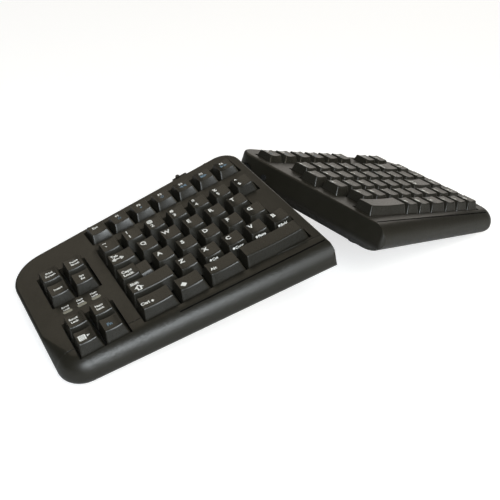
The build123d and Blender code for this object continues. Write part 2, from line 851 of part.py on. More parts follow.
outer_form = housing_form()
inner_form = housing_form(wall)
layer_form = housing_form(wall + layer_clearance)
build_half(-1, left_keys, outer_form, inner_form)
build_half(1, right_keys, outer_form, inner_form)
build_joint()
add_node("indicator_lenses", [lamp_shape(x, case_height - wall) for x in lamp_places()], -1)
add_node("indicator_board", lamp_board(), -1)
add_node("controller_board", controller_board(), -1)
add_node("link_board", link_board(), 1)
add_node("cord_inlet", cord_inlet(), 1)
add_node("seam_bumper", seam_bumper(), 1)
shift = write_nodes()
lever = lever_axis()
pivot = shift * half_place(-1) * Pos(-lever.X, lever.Y, lever_base)
print("lever pivot", [round(value, 4) for value in pivot.position])
for side, prefix in ((-1, "left"), (1, "right")):
    frame = shift * half_place(side)
    up = (frame * Pos(0, 0, 1)).position - frame.position
    foot = (frame * Pos(side * (outer_wall - outer_foot_inset), outer_foot_places[0], -foot_height)).position
    print(prefix, "up", [round(value, 6) for value in up], "foot", [round(value, 4) for value in foot])
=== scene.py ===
import json
import math

import bpy
from mathutils import Matrix, Vector

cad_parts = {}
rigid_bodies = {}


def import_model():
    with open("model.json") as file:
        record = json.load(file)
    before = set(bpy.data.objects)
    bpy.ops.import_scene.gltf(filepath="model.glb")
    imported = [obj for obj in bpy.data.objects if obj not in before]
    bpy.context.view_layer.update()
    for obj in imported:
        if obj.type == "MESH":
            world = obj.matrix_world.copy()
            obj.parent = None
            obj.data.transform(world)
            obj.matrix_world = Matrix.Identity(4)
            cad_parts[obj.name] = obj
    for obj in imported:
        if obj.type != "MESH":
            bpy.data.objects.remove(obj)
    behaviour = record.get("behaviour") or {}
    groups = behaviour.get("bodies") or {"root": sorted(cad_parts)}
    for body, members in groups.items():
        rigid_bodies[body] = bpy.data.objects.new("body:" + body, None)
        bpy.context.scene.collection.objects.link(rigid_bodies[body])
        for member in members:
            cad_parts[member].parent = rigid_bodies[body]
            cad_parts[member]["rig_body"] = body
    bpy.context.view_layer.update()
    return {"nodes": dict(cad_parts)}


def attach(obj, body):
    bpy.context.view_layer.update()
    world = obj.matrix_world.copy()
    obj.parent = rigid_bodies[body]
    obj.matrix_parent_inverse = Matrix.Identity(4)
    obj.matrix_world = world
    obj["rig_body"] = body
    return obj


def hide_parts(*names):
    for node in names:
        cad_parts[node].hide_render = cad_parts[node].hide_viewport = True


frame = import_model()
mm = 0.001

# where the two halves stand: slope, opening, and the ball that both turn about (mm, degrees)
stand = {"tent": 17.0, "halfSplay": 7.5, "ballHeight": 7.0, "ball": (0.0, 61.5987, 66.8679)}

# the key field, measured in each half's own flat frame (mm)
field = {
    "pitch": 19.05,
    "gap": 1.0,
    "blockStart": 8.45,
    "homeRow": -79.0,
    "functionLift": 13.45,
    "functionSlant": 2.1,   # the function row follows the back edge
    "navCentre": 171.5,
    "navSetback": 1.1,
}

print("frame loaded")


# placing

def halfMatrix(side):
    # flat half frame in mm to the row frame in metres; side is 1 for right, -1 for left
    turn = Matrix.Rotation(math.radians(side * stand["halfSplay"]), 4, "Z")
    slope = Matrix.Rotation(math.radians(side * stand["tent"]), 4, "Y")
    ball = Matrix.Translation(Vector(stand["ball"]) * mm)
    down = Matrix.Translation((0, 0, -stand["ballHeight"]))
    return ball @ turn @ slope @ Matrix.Scale(mm, 4) @ down


def selectOnly(*things):
    for thing in bpy.context.selected_objects:
        thing.select_set(False)
    for thing in things:
        thing.select_set(True)
    bpy.context.view_layer.objects.active = things[-1]


def editMode(piece, kind="FACE"):
    selectOnly(piece)
    modes = {"VERT": (True, False, False), "EDGE": (False, True, False), "FACE": (False, False, True)}
    bpy.context.tool_settings.mesh_select_mode = modes[kind]
    bpy.ops.object.mode_set(mode="EDIT")


def objectMode():
    bpy.ops.object.mode_set(mode="OBJECT")


def pick(piece, kind, test):
    # select by place or normal, then come back to edit mode
    objectMode()
    mesh = piece.data
    for group in (mesh.vertices, mesh.edges, mesh.polygons):
        group.foreach_set("select", [False] * len(group))
    chosen = {"VERT": mesh.vertices, "EDGE": mesh.edges, "FACE": mesh.polygons}[kind]
    for item in chosen:
        item.select = test(item)
    editMode(piece, kind)


def applyModifier(piece, kind, **settings):
    selectOnly(piece)
    bpy.ops.object.modifier_add(type=kind)
    modifier = piece.modifiers[-1]
    for key, value in settings.items():
        setattr(modifier, key, value)
    bpy.ops.object.modifier_apply(modifier=modifier.name)


def copyOf(thing):
    # every copy has its own mesh
    copy = thing.copy()
    copy.data = thing.data.copy()
    bpy.context.scene.collection.objects.link(copy)
    return copy


def joined(things):
    # one object of all, which keeps the last one's name and place
    selectOnly(*things)
    if len(things) > 1:
        bpy.ops.object.join()
    return things[-1]


def finishPiece(piece, name, matrix, bodyName, material, smoothAngle=35.0):
    # matrix takes the mesh from where it was drawn to the row frame
    piece.data.transform(matrix @ piece.matrix_world)
    piece.matrix_world = Matrix.Identity(4)
    piece.name = name
    piece.data.name = name
    piece.data.materials.clear()
    piece.data.materials.append(material)
    selectOnly(piece)
    bpy.ops.object.shade_smooth_by_angle(angle=math.radians(smoothAngle))
    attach(piece, bodyName)
    return piece


# materials

texture = {
    "low": 0.3,           # most of the noise lies between low and high
    "high": 0.7,
    "grainDetail": 3.0,
    "toneDetail": 2.0,
    "roughness": 0.6,
    "bumpDepth": 0.00008,   # m
}


def makeNode(tree, kind, values=None, **settings):
    node = tree.nodes.new(kind)
    for key, value in settings.items():
        setattr(node, key, value)
    for key, value in (values or {}).items():
        node.inputs[key].default_value = value
    return node


def newGroup(name, inputs, outputs):
    group = bpy.data.node_groups.new(name, "ShaderNodeTree")
    for label, default in inputs:
        socket = group.interface.new_socket(name=label, in_out="INPUT", socket_type="NodeSocketFloat")
        socket.default_value = default
    for label in outputs:
        group.interface.new_socket(name=label, in_out="OUTPUT", socket_type="NodeSocketFloat")
    start = group.nodes.new("NodeGroupInput")
    end = group.nodes.new("NodeGroupOutput")
    return group, start, end


def sparkTexture():
    # fine eroded texture of moulded plastic, with a slow change of tone over the piece
    group, start, end = newGroup("sparkTexture", [("Grain size", 0.0004), ("Tone size", 0.03)],
                                 ["Height", "Tone"])
    coordinates = makeNode(group, "ShaderNodeTexCoord")
    link = group.links.new
    outs = []
    for label, detail in (("Grain size", texture["grainDetail"]), ("Tone size", texture["toneDetail"])):
        divide = makeNode(group, "ShaderNodeMath", {0: 1.0}, operation="DIVIDE")
        link(start.outputs[label], divide.inputs[1])
        noise = makeNode(group, "ShaderNodeTexNoise", {"Detail": detail, "Roughness": texture["roughness"]})
        link(coordinates.outputs["Object"], noise.inputs["Vector"])
        link(divide.outputs[0], noise.inputs["Scale"])
        outs.append(noise)
    link(outs[0].outputs["Fac"], end.inputs["Height"])
    link(outs[1].outputs["Fac"], end.inputs["Tone"])
    return group


spark = sparkTexture()


def spread(tree, source, low, high):
    # the usual run of the noise, spread from low to high
    between = {"From Min": texture["low"], "From Max": texture["high"], "To Min": low, "To Max": high}
    node = makeNode(tree, "ShaderNodeMapRange", between)
    tree.links.new(source, node.inputs["Value"])
    return node.outputs["Result"]


def mouldedPlastic(name, given):
    material = bpy.data.materials.new(name)
    material.use_nodes = True
    tree = material.node_tree
    link = tree.links.new
    shader = tree.nodes["Principled BSDF"]
    shader.inputs["Specular IOR Level"].default_value = given["gloss"]
    shader.inputs["Metallic"].default_value = given["metal"]
    surface = makeNode(tree, "ShaderNodeGroup")
    surface.node_tree = spark
    surface.inputs["Grain size"].default_value = given["grain"]
    surface.inputs["Tone size"].default_value = given["toneSize"]
    tone = makeNode(tree, "ShaderNodeMix", data_type="RGBA")
    tone.inputs["A"].default_value = (*given["dark"], 1)
    tone.inputs["B"].default_value = (*given["light"], 1)
    link(spread(tree, surface.outputs["Tone"], 0.0, 1.0), tone.inputs["Factor"])
    link(tone.outputs["Result"], shader.inputs["Base Color"])
    low, high = given["rough"] - given["roughSpread"], given["rough"] + given["roughSpread"]
    link(spread(tree, surface.outputs["Height"], low, high), shader.inputs["Roughness"])
    bump = makeNode(tree, "ShaderNodeBump", {"Strength": given["bump"], "Distance": texture["bumpDepth"]})
    link(surface.outputs["Height"], bump.inputs["Height"])
    link(bump.outputs["Normal"], shader.inputs["Normal"])
    return material


def look(dark, light, rough=0.5, roughSpread=0.06, bump=0.25, grain=0.0004, toneSize=0.03, gloss=0.5,
         metal=0.0):
    # the two colours are linear, grain and toneSize in metres
    return {"dark": dark, "light": light, "rough": rough, "roughSpread": roughSpread, "bump": bump,
            "grain": grain, "toneSize": toneSize, "gloss": gloss, "metal": metal}


finishes = {
    "coverPlastic": look((0.012, 0.0108, 0.0072), (0.016, 0.0146, 0.0104), rough=0.40, bump=0.6, grain=0.0012,
                         gloss=0.44),
    "basePlastic": look((0.011, 0.0100, 0.0072), (0.015, 0.0138, 0.0104), rough=0.42, bump=0.4, grain=0.0010,
                        gloss=0.40),
    "capPlastic": look((0.013, 0.0120, 0.0088), (0.017, 0.0158, 0.0120), rough=0.30, bump=0.25, grain=0.0005,
                       toneSize=0.02, gloss=0.38),
    "plateBlack": look((0.006, 0.006, 0.0055), (0.009, 0.009, 0.008), rough=0.6),
    "domeRubber": look((0.10, 0.10, 0.095), (0.13, 0.13, 0.12), rough=0.7, bump=0.1),
    # painted shade: near-black, rough finish of the strips that stand in for the shadow in the groove along
    # the rolled front
    "grooveBlack": look((0.002, 0.002, 0.002), (0.004, 0.004, 0.004), rough=0.9, bump=0.4, gloss=0.05),
    "footRubber": look((0.008, 0.008, 0.008), (0.013, 0.013, 0.012), rough=0.8, bump=0.5, gloss=0.2),
    "printedFilm": look((0.36, 0.38, 0.36), (0.46, 0.48, 0.45), rough=0.3, bump=0.05, toneSize=0.008),
    "zincSteel": look((0.42, 0.43, 0.44), (0.56, 0.57, 0.58), rough=0.35, metal=1.0, bump=0.15, toneSize=0.01),
    "screwSteel": look((0.30, 0.30, 0.31), (0.42, 0.42, 0.43), rough=0.3, metal=1.0, bump=0.2),
    "polishedSteel": look((0.55, 0.55, 0.55), (0.66, 0.66, 0.66), rough=0.14, roughSpread=0.04, metal=1.0,
                          bump=0.03),
    "blackCoat": look((0.010, 0.010, 0.010), (0.016, 0.016, 0.015), rough=0.4, bump=0.3),
    "acetal": look((0.55, 0.53, 0.47), (0.66, 0.64, 0.58), rough=0.35, bump=0.05),
    "lensPlastic": look((0.17, 0.165, 0.13), (0.22, 0.21, 0.17), rough=0.18, roughSpread=0.03, bump=0.03),
    "solderMask": look((0.012, 0.075, 0.03), (0.02, 0.12, 0.05), rough=0.35, bump=0.1, toneSize=0.004),
    "whiteInk": look((0.72, 0.72, 0.69), (0.84, 0.84, 0.81), rough=0.55, bump=0.1, grain=0.0002),
    "blueInk": look((0.10, 0.17, 0.23), (0.14, 0.22, 0.30), rough=0.55, bump=0.1, grain=0.0002),
}
materials = {name: mouldedPlastic(name, values) for name, values in finishes.items()}
print("materials ready")


# key caps

cap = {
    "base": 21.0,
    "top": 31.0,
    "functionTop": 29.2,
    "cornerRadius": 1.2,
    "cornerSteps": 4,
    "columns": 8,      # faces across one key unit
    "rows": 8,
    "dish": 0.8,
    "dishInset": 2.6,  # the hollow of the top ends this far inside the cap's foot
    "dishBand": 1.0,   # what lies this close under the top is lowered with it
    "wall": 1.3,
    "roofDepth": 2.0,
    "roofSides": 4.6,  # how much narrower, shorter and further back the ceiling is than the skirt's inside
    "roofRun": 4.4,
    "roofBack": 0.9,
    "smoothAngle": 24,
    # depth under the top, and how far the sides, front and back have drawn in there
    "rings": [(0.55, 2.44, 3.42, 1.34), (0.06, 2.72, 3.92, 1.60), (0.0, 3.00, 4.20, 1.86)],
}
stem = {
    "size": 6.0,
    "sideSize": 4.0,
    "foot": 11.5,
    "overlap": 0.4,    # into the ceiling
    "wall": 0.9,
    "socket": 3.0,
    "edge": 0.25,
    "longFrom": 1.75,  # units from which a cap has side stems
    "sideInset": 9.0,
}
stepped = {
    "units": 1.5,
    "drop": 2.6,       # low inner part of the caps lock
    "shrink": 0.05,    # keeps its sides apart from those of the full cap
    "middle": -0.25 * field["pitch"],
}


def capTopHalf(units):
    return (units * field["pitch"] - field["gap"]) / 2 - cap["dishInset"]


def dishDrop(x, half, middle=0.0):
    # depth of the hollow at x, for a top that reaches half to each side of its middle
    inside = max(0.0, 1 - ((x - middle) / half) ** 2)
    return cap["dish"] * inside


def drawStem(x, size, roof):
    low, high = stem["foot"], roof + stem["overlap"]
    centre = (x, 0, (low + high) / 2)
    bpy.ops.mesh.primitive_cube_add(size=1, location=centre)
    piece = bpy.context.object
    editMode(piece)
    bpy.ops.transform.resize(value=(size, size, high - low), center_override=centre)
    pick(piece, "FACE", lambda face: face.normal.z < -0.9)
    bpy.ops.mesh.inset(thickness=stem["wall"])
    bpy.ops.mesh.extrude_region_move(TRANSFORM_OT_translate={"value": (0, 0, stem["socket"])})
    pick(piece, "EDGE", lambda edge: True)
    bpy.ops.mesh.edges_select_sharp(sharpness=math.radians(60))
    bpy.ops.mesh.bevel(offset=stem["edge"], segments=1, affect="EDGES")
    objectMode()
    return piece


def drawFoot(width, depth, columns):
    # the cap's outline as a flat grid with rounded corners
    bpy.ops.mesh.primitive_grid_add(x_subdivisions=columns, y_subdivisions=cap["rows"], size=1,
                                    location=(0, 0, 0))
    piece = bpy.context.object
    editMode(piece)
    bpy.ops.mesh.select_all(action="SELECT")
    bpy.ops.transform.resize(value=(width, depth, 1), center_override=(0, 0, 0))
    bpy.ops.transform.translate(value=(0, 0, cap["base"]))
    near = 0.01
    pick(piece, "VERT", lambda v: abs(v.co.x) > width / 2 - near and abs(v.co.y) > depth / 2 - near)
    bpy.ops.mesh.bevel(offset=cap["cornerRadius"], segments=cap["cornerSteps"], affect="VERTICES")
    pick(piece, "FACE", lambda face: True)
    return piece


def raiseSides(width, depth, top):
    # sloping sides and two chamfers, each drawn in from the one below
    lastHeight, lastSides, lastFront, lastBack = cap["base"], 0.0, 0.0, 0.0
    for under, sides, front, back in cap["rings"]:
        height = top - under
        shift = ((front - back) - (lastFront - lastBack)) / 2
        bpy.ops.mesh.extrude_region_move(
            TRANSFORM_OT_translate={"value": (0, shift, height - lastHeight)})
        across = (width - 2 * sides) / (width - 2 * lastSides)
        along = (depth - front - back) / (depth - lastFront - lastBack)
        centre = (0, (front - back) / 2, height)
        bpy.ops.transform.resize(value=(across, along, 1), center_override=centre)
        lastHeight, lastSides, lastFront, lastBack = height, sides, front, back


def hollowOut(width, depth, roof):
    # the skirt's inner face and the ceiling
    bpy.ops.mesh.select_all(action="DESELECT")
    bpy.context.tool_settings.mesh_select_mode = (False, True, False)
    bpy.ops.mesh.select_non_manifold()
    innerWidth, innerDepth = width - 2 * cap["wall"], depth - 2 * cap["wall"]
    bpy.ops.mesh.extrude_edges_move(TRANSFORM_OT_translate={"value": (0, 0, 0)})
    bpy.ops.transform.resize(value=(innerWidth / width, innerDepth / depth, 1),
                             center_override=(0, 0, cap["base"]))
    bpy.ops.mesh.extrude_edges_move(
        TRANSFORM_OT_translate={"value": (0, cap["roofBack"], roof - cap["base"])})
    bpy.ops.transform.resize(value=((innerWidth - cap["roofSides"]) / innerWidth,
                                    (innerDepth - cap["roofRun"]) / innerDepth, 1),
                             center_override=(0, cap["roofBack"], roof))
    bpy.ops.mesh.edge_face_add()


def drawCap(units, top, shrink=0.0, stemmed=True):
    # top is the height of the finished cap's upper edge, shrink draws every side in
    pitch = field["pitch"]
    width = units * pitch - field["gap"] - 2 * shrink
    depth = pitch - field["gap"] - 2 * shrink
    roof = top - cap["roofDepth"]
    piece = drawFoot(width, depth, round(cap["columns"] * units))
    raiseSides(width, depth, top)
    hollowOut(width, depth, roof)
    objectMode()
    for v in piece.data.vertices:
        if v.co.z > top - cap["dishBand"]:
            v.co.z -= dishDrop(v.co.x, capTopHalf(units))
    editMode(piece)
    bpy.ops.mesh.select_all(action="SELECT")
    bpy.ops.mesh.normals_make_consistent(inside=False)
    objectMode()
    stems = [drawStem(0, stem["size"], roof)] if stemmed else []
    if stemmed and units >= stem["longFrom"]:
        reach = units * pitch / 2 - stem["sideInset"]
        stems += [drawStem(x, stem["sideSize"], roof) for x in (-reach, reach)]
    return joined(stems + [piece])


def drawSteppedCap():
    # a low cap of one and a half units with a full cap of one unit over its outer part
    low = drawCap(stepped["units"], cap["top"] - stepped["drop"], stepped["shrink"])
    high = drawCap(1, cap["top"], stemmed=False)
    high.data.transform(Matrix.Translation((stepped["middle"], 0, 0)))
    return joined([low, high])


capMasters = {units: drawCap(units, cap["top"]) for units in (1, 1.25, 1.5, 1.75, 2, 2.75)}
capMasters["low"] = drawCap(1, cap["functionTop"])
capMasters["stepped"] = drawSteppedCap()
print("caps modelled")


# legends

# sizes and places in mm; x to the viewer's right and y to the back, from the middle of the cap
ink = {"raise": 0.03, "bold": 0.036, "curveSteps": 3}   # bold is a share of the size


def mark(text, size, x, y, colour="white", align="CENTER", face="top"):
    return {"text": text, "size": size, "x": x, "y": y, "colour": colour, "align": align, "face": face}


def letter(text):
    return [mark(text, 5.5, -2.5, 3.5)]


def pair(upper, lower):
    return [mark(upper, 4.7, -2.9, 5.0), mark(lower, 4.7, -2.7, -0.8)]


def words(*lines, x=0.2, y=3.0, size=2.8, step=3.3):
    return [mark(line, size, x, y - step * index) for index, line in enumerate(lines)]


def functionKey(text, second):
    return [mark(text, 3.3, -0.4, 4.4), mark(second, 3.2, 0.0, 0.4, "blue")]


def front(text):
    # a dot and a word on the cap's front face, just under its top edge
    return [mark("•", 5.6, -3.6, 27.3, face="front"),
            mark(text, 2.9, -2.4, 27.3, align="LEFT", face="front")]


# row, start in key units from the seam, then node, width in units and legends, from the seam outward
leftRows = [
    (3, 0, [("left_function_keys", 1, functionKey("F%d" % n, extra)) for n, extra in
            zip((6, 5, 4, 3, 2, 1), ("▶▶", "■▶", "◀◀", "◇", "≡", "○"))]
     + [("escape_key", 1, words("Esc", x=-1.0, y=3.4, size=3.6))]),
    (2, 0, [("left_number_keys", 1, pair(*both)) for both in zip("^%$#@!~", "654321`")]),
    (1, 0.75, [("left_upper_letter_keys", 1, letter(c)) for c in "TREWQ"]
     + [("tab_key", 1.25, [mark("Tab", 3.6, -4.6, 4.4), mark("←", 5.6, -5.0, 0.4),
                           mark("→", 5.6, -1.2, 0.4)])]),
    (0, 0.5, [("left_home_letter_keys", 1, letter(c)) for c in "GFDSA"]
     + [("caps_lock_key", 1.5, words("Caps", "Lock", x=-5.7, y=2.1, size=3.9, step=4.0))]),
    (-1, 0, [("left_lower_letter_keys", 1, letter(c) + extra) for c, extra in
             (("B", front("Bold")), ("V", front("Paste")), ("C", front("Copy")), ("X", front("Cut")),
              ("Z", []))]
     + [("left_shift_key", 2, [mark("Shift", 3.6, -11.2, 4.2), mark("⇧", 7.2, -9.9, -1.8)])]),
    (-2, 0, [("left_space_bar", 2.75, []), ("left_alt_key", 1.5, [mark("Alt", 3.8, -7.0, 0.0)]),
             ("left_symbol_key", 1.25, [mark("◆", 4.8, -4.6, -0.8)]),
             ("left_control_key", 1.5, [mark("Ctrl", 3.9, -8.0, -0.2), mark("♦", 2.6, -2.6, -0.6)])]),
]
rightRows = [
    (3, 0, [("right_function_keys", 1, functionKey("F%d" % n, extra)) for n, extra in
            zip(range(7, 13), "○□△◇≡≈")]
     + [(None, 1, [])]
     + [("right_function_keys", 1, words("Vol", "–", size=3.0)),
        ("right_function_keys", 1, words("Vol", "+", size=3.0))]),
    (2, 0.5, [("right_number_keys", 1, pair(*both)) for both in zip("&*()_+", "7890-=")]
     + [("backspace_key", 1.5, [mark("Back", 3.4, -6.4, 3.4), mark("←", 6.0, -6.4, -1.0)]),
        ("column_keys", 1, words("Delete", y=1.4))]),
    (1, 0, [("right_upper_letter_keys", 1, letter(c)) for c in "YUIOP"]
     + [("right_upper_letter_keys", 1, pair(*both)) for both in ("{[", "}]", "|\\")]
     + [("column_keys", 1, words("Home", y=1.4, size=3.2))]),
    (0, 0.25, [("right_home_letter_keys", 1, letter(c)) for c in "HJKL"]
     + [("right_home_letter_keys", 1, pair(*both)) for both in (":;", "\"'")]
     + [("enter_key", 1.75, [mark("Enter", 3.8, -8.2, 2.6), mark("↵", 7.0, -8.2, -2.0)]),
        ("column_keys", 1, words("Page", "Up"))]),
    (-1, 0.75, [("right_lower_letter_keys", 1, letter(c)) for c in "NM"]
     + [("right_lower_letter_keys", 1, pair(*both)) for both in ("<,", ">.", "?/")]
     + [("right_shift_key", 1.25, [mark("Shift", 3.8, -3.6, 2.6), mark("⇧", 7.0, -3.6, -2.0)]),
        ("up_arrow_key", 1, [mark("↑", 7.0, -2.0, 2.0)]), ("column_keys", 1, words("Page", "Down"))]),
    (-2, 0, [("right_space_bar", 2.75, []), ("right_modifier_keys", 1, [mark("Alt", 3.8, -2.2, 1.4)]),
             ("right_modifier_keys", 1, [mark("◆", 6.0, -2.2, 1.4)]),
             ("right_modifier_keys", 1.25, [mark("Ctrl", 3.8, -3.6, 1.4)]),
             ("left_arrow_key", 1, [mark("←", 7.0, -2.0, 2.0)]),
             ("down_arrow_key", 1, [mark("↓", 7.0, -2.0, 2.0)]),
             ("right_arrow_key", 1, [mark("→", 7.0, -2.0, 2.0)])]),
]
# upper and lower group of four: node, back row, steps of setback, and legends, inner key first in each row
navGroups = [
    ("upper_nav_keys", 2, 1, [words("Pause", "Break", x=0.7, y=2.9), words("Print", "Screen", x=0.1),
                              words("Sys", "Rq", x=0.0, y=2.6), words("Insert", x=0.1, y=1.0)]),
    ("lower_nav_keys", -1, 2, [words("Num", "Lock", x=-0.9, y=3.2), words("Scroll", "Lock", x=-1.2, y=2.8),
                               [mark("Fn", 4.0, -1.2, 0.3, "blue")],
                               [mark("▤", 6.5, -2.4, -0.2), mark("▸", 5.0, 2.0, 0.2)]]),
]


def rowCentre(row):
    return field["homeRow"] + row * field["pitch"] + (field["functionLift"] if row == 3 else 0)


def rowTurn(row, side):
    # only the function row is slanted, about the end of its middle line at the seam
    slant = field["functionSlant"] if row == 3 else 0
    middle = Matrix.Translation((0, rowCentre(row), 0))
    return middle @ Matrix.Rotation(math.radians(-slant * side), 4, "Z") @ middle.inverted()


def capForm(node, row, units):
    # the key of a cap in capMasters
    if node == "caps_lock_key":
        return "stepped"
    return "low" if row == 3 else units


def capTop(form):
    # height of the top, half its width and the middle of its hollow
    if form == "stepped":
        return cap["top"], capTopHalf(1), stepped["middle"]
    if form == "low":
        return cap["functionTop"], capTopHalf(1), 0.0
    return cap["top"], capTopHalf(form), 0.0


def layOut(rows, side):
    found = []
    for row, start, keys in rows:
        x = field["blockStart"] + start * field["pitch"]
        for node, units, marks in keys:
            if node:
                spot = Matrix.Translation((side * (x + units * field["pitch"] / 2), rowCentre(row), 0))
                found.append((node, capForm(node, row, units), rowTurn(row, side) @ spot, marks))
            x += units * field["pitch"]
    return found


def layOutNav():
    found = []
    for node, row, setback, legends in navGroups:
        for index, marks in enumerate(legends):
            x = field["navCentre"] + (index % 2 - 0.5) * field["pitch"]
            y = rowCentre(row - index // 2) - setback * field["navSetback"]
            found.append((node, 1, Matrix.Translation((-x, y, 0)), marks))
    return found


def drawMark(given, top):
    bpy.ops.object.text_add(location=(0, 0, 0))
    text = bpy.context.object
    text.data.body = given["text"]
    text.data.size = given["size"]
    text.data.align_x = given["align"]
    text.data.align_y = "CENTER"
    text.data.extrude = ink["raise"]
    text.data.offset = ink["bold"] * given["size"]
    text.data.resolution_u = ink["curveSteps"]
    bpy.ops.object.convert(target="MESH")
    text = bpy.context.object
    if given["face"] == "front":
        # the front face leans back from its lower edge
        under, _, run, _ = cap["rings"][0]
        rise = cap["top"] - under - cap["base"]
        y = run / rise * (given["y"] - cap["base"]) - (field["pitch"] - field["gap"]) / 2
        lean = Matrix.Rotation(math.atan2(rise, run), 4, "X")
        text.data.transform(Matrix.Translation((given["x"], y, given["y"])) @ lean)
    else:
        text.data.transform(Matrix.Translation((given["x"], given["y"], top)))
    return text


def place(thing, matrix):
    copy = copyOf(thing)
    copy.data.transform(matrix @ copy.matrix_world)
    copy.matrix_world = Matrix.Identity(4)
    return copy


def camelName(node):
    first, *rest = node.split("_")
    return first + "".join(part.capitalize() for part in rest)


def buildKeys(keys, side):
    half = halfMatrix(side)
    groups = {}
    for node, form, spot, marks in keys:
        group = groups.setdefault(node, {"caps": [], "white": [], "blue": []})
        group["caps"].append(place(capMasters[form], spot))
        top, reach, middle = capTop(form)
        for given in marks:
            text = drawMark(given, top)
            if given["face"] == "top":
                for v in text.data.vertices:
                    v.co.z -= dishDrop(v.co.x, reach, middle)
            text.data.transform(spot)
            group[given["colour"]].append(text)
    for node, group in groups.items():
        name, body = camelName(node), node + "_body"
        caps = finishPiece(joined(group["caps"]), name, half, body, materials["capPlastic"],
                           cap["smoothAngle"])
        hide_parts(node)
        for colour in ("white", "blue"):
            if group[colour]:
                finishPiece(joined(group[colour]), name + colour.capitalize() + "Legends", half, body,
                            materials[colour + "Ink"])


buildKeys(layOut(leftRows, -1) + layOutNav(), -1)
buildKeys(layOut(rightRows, 1), 1)

# two-line labels on the cover behind the three lamps, outermost first (mm, in the left half's frame)
lampLabels = {"size": 2.4, "step": 3.0, "height": 24.0, "y": -74.5,
              "words": [(-182.6, "Scroll", "Lock"), (-171.5, "Caps", "Lock"), (-160.7, "Num", "Lock")]}


def labelLamps():
    made = []
    for x, *lines in lampLabels["words"]:
        for given in words(*lines, x=x, y=lampLabels["y"], size=lampLabels["size"], step=lampLabels["step"]):
            made.append(drawMark(given, lampLabels["height"]))
    finishPiece(joined(made), "lampLabels", halfMatrix(-1), "left_half", materials["whiteInk"])


labelLamps()
for master in capMasters.values():
    bpy.data.objects.remove(master)
print("keys and legends placed")


# housings and small parts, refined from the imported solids

refining = {
    "mergeWithin": 0.000002,   # m
    "flatWithin": 0.5,         # degrees
    "sharpFrom": 40.0,
    "smoothAngle": 30.0,
    "flatWeight": 100,
}


def refine(node, finish, bevel):
    # the solid's mesh with its triangles merged and its flat faces kept flat
    source = frame["nodes"][node]
    copy = copyOf(source)
    copy.parent = None
    for key in list(copy.keys()):
        del copy[key]
    copy.matrix_world = Matrix.Identity(4)
    editMode(copy)
    bpy.ops.mesh.select_all(action="SELECT")
    bpy.ops.mesh.remove_doubles(threshold=refining["mergeWithin"])
    if bevel:
        bpy.ops.mesh.dissolve_limited(angle_limit=math.radians(refining["flatWithin"]))
        pick(copy, "EDGE", lambda edge: False)
        bpy.ops.mesh.edges_select_sharp(sharpness=math.radians(refining["sharpFrom"]))
        bpy.ops.mesh.bevel(offset=bevel * mm, segments=2, affect="EDGES")
    objectMode()
    piece = finishPiece(copy, camelName(node) + "Finished", Matrix.Identity(4), source["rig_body"],
                        materials[finish], refining["smoothAngle"])
    applyModifier(piece, "WEIGHTED_NORMAL", weight=refining["flatWeight"], keep_sharp=True)
    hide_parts(node)


# node, finish, slot, and the bevel that breaks its sharp edges (mm)
refinedNodes = [
    ("left_top_cover", "coverPlastic", "cover_plastic", 0.0),
    ("right_top_cover", "coverPlastic", "cover_plastic", 0.0),
    ("left_bottom_cover", "basePlastic", "base_plastic", 0.0),
    ("right_bottom_cover", "basePlastic", "base_plastic", 0.0),
    ("lock_lever", "basePlastic", "base_plastic", 0.3),
    ("ball_stud", "polishedSteel", "ball_steel", 0.0),
    ("ball_socket", "blackCoat", "socket_metal", 0.0),
    ("left_feet", "footRubber", "foot_rubber", 0.4),
    ("right_feet", "footRubber", "foot_rubber", 0.4),
    ("seam_bumper", "footRubber", "foot_rubber", 0.4),
    ("cord_inlet", "footRubber", "foot_rubber", 0.2),
    ("indicator_lenses", "lensPlastic", "lens_plastic", 0.15),
    ("lever_pin", "screwSteel", "screw_steel", 0.15),
]
for node, finish, slotName, bevel in refinedNodes:
    refine(node, finish, bevel)

# painted shade: near-black strips laid on the cover where the groove between the keys and the rolled front
# lies in shadow (mm, in the half frame)
grooveShadeStrip = {
    "start": 2.5,      # from the seam
    "leftEnd": 118.0,
    "rightEnd": 188.0,
    "front": -136.6,   # at the seam
    "slant": 1.55,     # degrees
    "width": 1.2,
    "pieces": 96,
    "above": 24.6,     # it is laid down from here
    "proud": 0.04,
    "depth": 0.4,
}


def drawGrooveShade(side, name, end, cover, body):
    # a slim strip of painted groove shadow laid onto the cover, so that it follows the start of the roll
    slant = math.radians(grooveShadeStrip["slant"])
    length = (end - grooveShadeStrip["start"]) / math.cos(slant)
    middle = (grooveShadeStrip["start"] + end) / 2
    bpy.ops.mesh.primitive_grid_add(x_subdivisions=grooveShadeStrip["pieces"], y_subdivisions=2, size=1,
                                    location=(0, 0, 0))
    strip = bpy.context.object
    editMode(strip)
    bpy.ops.mesh.select_all(action="SELECT")
    bpy.ops.transform.resize(value=(length, grooveShadeStrip["width"], 1), center_override=(0, 0, 0))
    objectMode()
    spot = Matrix.Translation((side * middle, grooveShadeStrip["front"] + math.tan(slant) * middle, grooveShadeStrip["above"]))
    strip.data.transform(halfMatrix(side) @ spot @ Matrix.Rotation(side * slant, 4, "Z"))
    applyModifier(strip, "SHRINKWRAP", target=bpy.data.objects[cover], wrap_mode="ABOVE_SURFACE",
                  offset=grooveShadeStrip["proud"] * mm)
    applyModifier(strip, "SOLIDIFY", thickness=grooveShadeStrip["depth"] * mm)
    # the strip carries the painted groove shadow
    finishPiece(strip, name, Matrix.Identity(4), body, materials["grooveBlack"])


# painted groove shadow on both halves
drawGrooveShade(-1, "leftInlay", grooveShadeStrip["leftEnd"], "leftTopCoverFinished", "left_half")
drawGrooveShade(1, "rightInlay", grooveShadeStrip["rightEnd"], "rightTopCoverFinished", "right_half")

